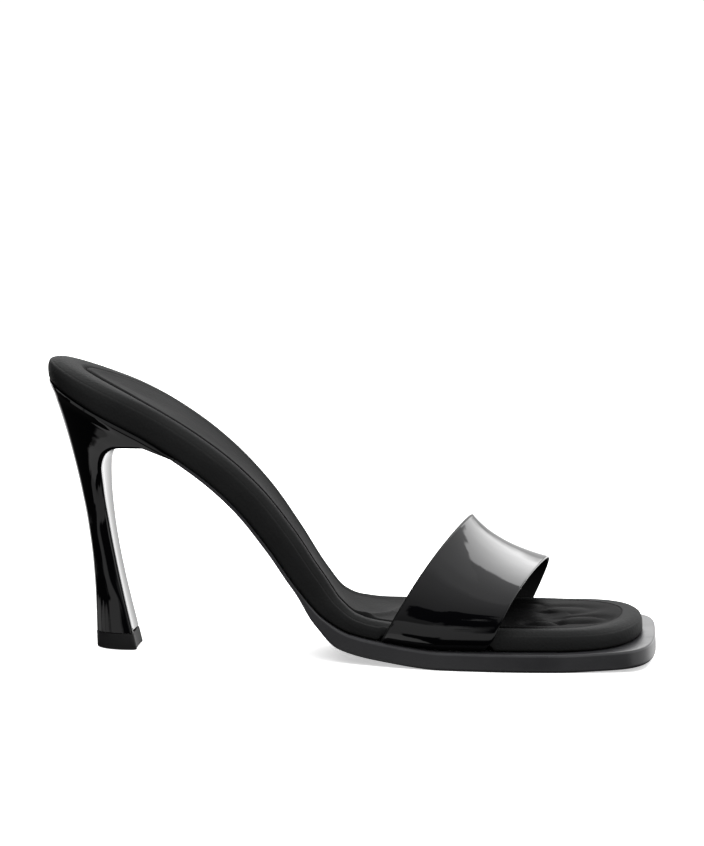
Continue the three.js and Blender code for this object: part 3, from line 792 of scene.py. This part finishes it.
pieces = [
    (outsole(), "outsole"),
    (footbed(), "leather"),
    (sock(), "sock_satin"),
    (heel(), "heel_patent"),
    (top_piece(), "top_piece"),
    (strap_layer("strap_band", band_patent, BAND_INNER, STRAP_WALL / 2, 0), "strap_patent"),
    (strap_layer("strap_lining", lining, -STRAP_WALL / 2, LINING_OUTER, LINING_SET_BACK), "strap_patent"),
]

# Floor, light and camera
scene = bpy.context.scene
scene.view_settings.view_transform = "Standard"


def floor_material():
    white = (0.92, 0.92, 0.92)
    material, tree, shader = new_material("floor_white", white, roughness=0.7, Emission_Strength=0.5)
    waves = noise(tree, object_point(tree), scale=40.0)
    tree.links.new(bump(tree, waves, distance=0.0002, strength=0.2), shader.inputs["Normal"])
    return material


FLOOR_REACH = 6.0
corners = [(x * FLOOR_REACH, y * FLOOR_REACH, 0) for x, y in ((-1, -1), (1, -1), (1, 1), (-1, 1))]
floor_mesh = bpy.data.meshes.new("floor")
floor_mesh.from_pydata(corners, [], [(0, 1, 2, 3)])
floor = bpy.data.objects.new("floor", floor_mesh)
floor_mesh.materials.append(floor_material())
scene.collection.objects.link(floor)
floor.visible_glossy = False
floor.visible_diffuse = False


def soft_box(name, place, aim, size, radiance):
    data = bpy.data.lights.new(name, "AREA")
    data.shape = "RECTANGLE"
    data.size, data.size_y = size
    data.energy = radiance * math.pi * size[0] * size[1]
    light = bpy.data.objects.new(name, data)
    light.location = place
    light.rotation_euler = (Vector(aim) - Vector(place)).to_track_quat("-Z", "Y").to_euler()
    light.visible_glossy = False
    scene.collection.objects.link(light)


soft_box("top_box", place=(0.02, 0.05, 1.4), aim=(0.02, 0, 0), size=(2.2, 2.2), radiance=2.9)
soft_box("front_box", place=(0.9, -1.4, 0.5), aim=(0.02, 0, 0.04), size=(1.6, 1.2), radiance=1.5)

# Studio panels round the object, which the camera itself doesn't see. A patch is azimuth from, to and
# softness, elevation from and softness, to and softness, in degrees, with azimuths positive towards the toe.
# Panels: 1 where azimuths start on the far side or -1 on the camera's side, the patch, radiance at its foot
# and at its top
PANELS = [
    (1, -40, 38, 1.5, 14, 3, 50, 1.5, 3.2, 3.2),
    (1, -40, 38, 1.5, -14, 3, 2, 2, 1.8, 1.8),
    (1, -40, 38, 1.5, 2, 2, 14, 3, 0.9, 0.9),
    (1, -40, 38, 1.5, 50, 1.5, 72, 5, 0.9, 0.9),
    (1, 38, 125, 1.5, -20, 4, 72, 5, 1.0, 1.0),
    (-1, -50, 55, 6, -5, 2, 72, 5, 0.17, 0.68),
    (-1, -66, 55, 3, -39, 2, -27, 2, 0.5, 0.53),
    (-1, -53, 55, 3, -27, 2, -21, 2, 0.53, 0.55),
    (-1, -42, 55, 3, -21, 2, -15, 1.5, 0.55, 0.57),
    (-1, -52, 55, 3, -15, 1.5, -5, 2, 0.57, 0.6),
    (-1, -122, -55, 4, -13, 0.9, -4, 2, 0.6, 0.6),
    (-1, -92, -34, 2, -58, 2, -39, 2, 0.75, 0.75),
]
# Zenith: elevation from, softness, radiance
ZENITH = (72, 5, 0.9)
AMBIENT = 0.012
# Dark wedge between two panels on the camera's side: azimuth from, to and softness, then its lower and its
# upper edge as the elevation at azimuth 0 and the slope, and their softness
WEDGE_SIDES = (-27, -4, 1.5)
WEDGE_LOW, WEDGE_HIGH, WEDGE_SOFT = (-11.0, -0.62), (27.0, 0.42), 1.0
# Patches on the camera's side: dark ones, and a small glint in the dark wedge with its radiance
DARK_PATCHES = [(-8, 52, 2.5, -21, 2, 1, 3), (-38, -20, 1.5, -80, 3, -35, 2)]
GLINT, GLINT_RADIANCE = (-10.5, -7.5, 0.8, 6, 0.8, 11, 0.8), 0.55
BACKDROP = 1.05

world = bpy.data.worlds.new("studio")
world.use_nodes = True
scene.world = world
studio = world.node_tree


def maths(operation, first, second=None):
    inputs = {0: first} if second is None else {0: first, 1: second}
    return node(studio, "ShaderNodeMath", inputs, operation=operation).outputs["Value"]


def fade(value, edge, softness, rising=True):
    inputs = {"Value": value, "From Min": edge - softness, "From Max": edge + softness}
    inputs["To Min"], inputs["To Max"] = (0.0, 1.0) if rising else (1.0, 0.0)
    return node(studio, "ShaderNodeMapRange", inputs, interpolation_type="SMOOTHSTEP").outputs["Result"]


def window(value, low, low_softness, high, high_softness):
    return maths("MULTIPLY", fade(value, low, low_softness), fade(value, high, high_softness, rising=False))


def wavy(angle, scale, reach, seed):
    """Angle with a slow irregular shift, so that the panels' edges are not ruled lines."""
    places = {0: ray, 1: (seed, seed, seed)}
    shifted = node(studio, "ShaderNodeVectorMath", places, operation="ADD").outputs[0]
    waves = noise(studio, shifted, scale, detail=2.0)
    return maths("ADD", angle, ranged(studio, waves, 0.0, 1.0, -reach, reach))


def inside(patch, azimuth):
    """1 inside a patch, 0 outside."""
    left, right, side_soft, low, low_soft, high, high_soft = patch
    sides = window(azimuth, left, side_soft, right, side_soft)
    return maths("MULTIPLY", sides, window(elevation, low, low_soft, high, high_soft))


def darkened(brightness, share):
    return maths("MULTIPLY", brightness, maths("SUBTRACT", 1.0, share))


def sloping(line):
    """The line's elevation at azimuth 0, and the elevation less the line's slope, to be compared with it."""
    at_zero, slope = line
    return maths("SUBTRACT", elevation, maths("MULTIPLY", azimuths[-1], slope)), at_zero


ray = node(studio, "ShaderNodeTexCoord").outputs["Generated"]
towards_toe, towards_back, upwards = node(studio, "ShaderNodeSeparateXYZ", {"Vector": ray}).outputs
elevation = wavy(maths("DEGREES", maths("ARCSINE", upwards)), scale=8.0, reach=4.0, seed=0.0)
azimuths = {}
for facing in (1, -1):
    azimuth = maths("ARCTAN2", towards_toe, maths("MULTIPLY", towards_back, float(facing)))
    azimuths[facing] = wavy(maths("DEGREES", azimuth), scale=9.0, reach=6.0, seed=3.0)

zenith_from, zenith_soft, zenith_radiance = ZENITH
radiance = maths("MULTIPLY", fade(elevation, zenith_from, zenith_soft), zenith_radiance)
for facing, *patch, low_radiance, high_radiance in PANELS:
    strength = ranged(studio, elevation, patch[3], patch[5], low_radiance, high_radiance)
    radiance = maths("ADD", radiance, maths("MULTIPLY", inside(patch, azimuths[facing]), strength))

wedge_left, wedge_right, wedge_side_soft = WEDGE_SIDES
wedge_sides = window(azimuths[-1], wedge_left, wedge_side_soft, wedge_right, wedge_side_soft)
above = fade(*sloping(WEDGE_LOW), WEDGE_SOFT)
below = fade(*sloping(WEDGE_HIGH), WEDGE_SOFT, rising=False)
radiance = darkened(radiance, maths("MULTIPLY", maths("MULTIPLY", above, below), wedge_sides))
for patch in DARK_PATCHES:
    radiance = darkened(radiance, inside(patch, azimuths[-1]))
glint = maths("MULTIPLY", inside(GLINT, azimuths[-1]), GLINT_RADIANCE)
radiance = maths("ADD", maths("ADD", radiance, glint), AMBIENT)

white = (1, 1, 1, 1)
panels = studio.nodes["Background"]
panels.inputs["Color"].default_value = white
studio.links.new(radiance, panels.inputs["Strength"])
plain = node(studio, "ShaderNodeBackground", {"Color": white, "Strength": BACKDROP})
seen = node(studio, "ShaderNodeLightPath").outputs["Is Camera Ray"]
both = node(studio, "ShaderNodeMixShader", {0: seen, 1: panels.outputs[0], 2: plain.outputs[0]})
studio.links.new(both.outputs[0], studio.nodes["World Output"].inputs["Surface"])

# Camera, fitted to the photograph: yaw towards the toe, pitch, distance, the object's middle, and how far
# above it the camera looks
YAW, PITCH = math.radians(4.5), math.radians(7.2)
DISTANCE = 1400
AIM = np.array([112.0, 0.0, 50.69])
LIFT = 33.12
FOCAL_PIXELS, PHOTO_HEIGHT = 3804, 846
back = np.array([math.sin(YAW) * math.cos(PITCH), -math.cos(YAW) * math.cos(PITCH), math.sin(PITCH)])
up = np.array([-math.sin(PITCH) * math.sin(YAW), math.sin(PITCH) * math.cos(YAW), math.cos(PITCH)])
target = AIM + LIFT * up
camera_data = bpy.data.cameras.new("camera")
camera_data.sensor_width = 36
camera_data.lens = camera_data.sensor_width * FOCAL_PIXELS / PHOTO_HEIGHT
camera = bpy.data.objects.new("camera", camera_data)
camera.location = (Vector(target + DISTANCE * back) + origin) / MM
camera.rotation_euler = Vector(back).to_track_quat("Z", "Y").to_euler()
scene.collection.objects.link(camera)
scene.camera = camera
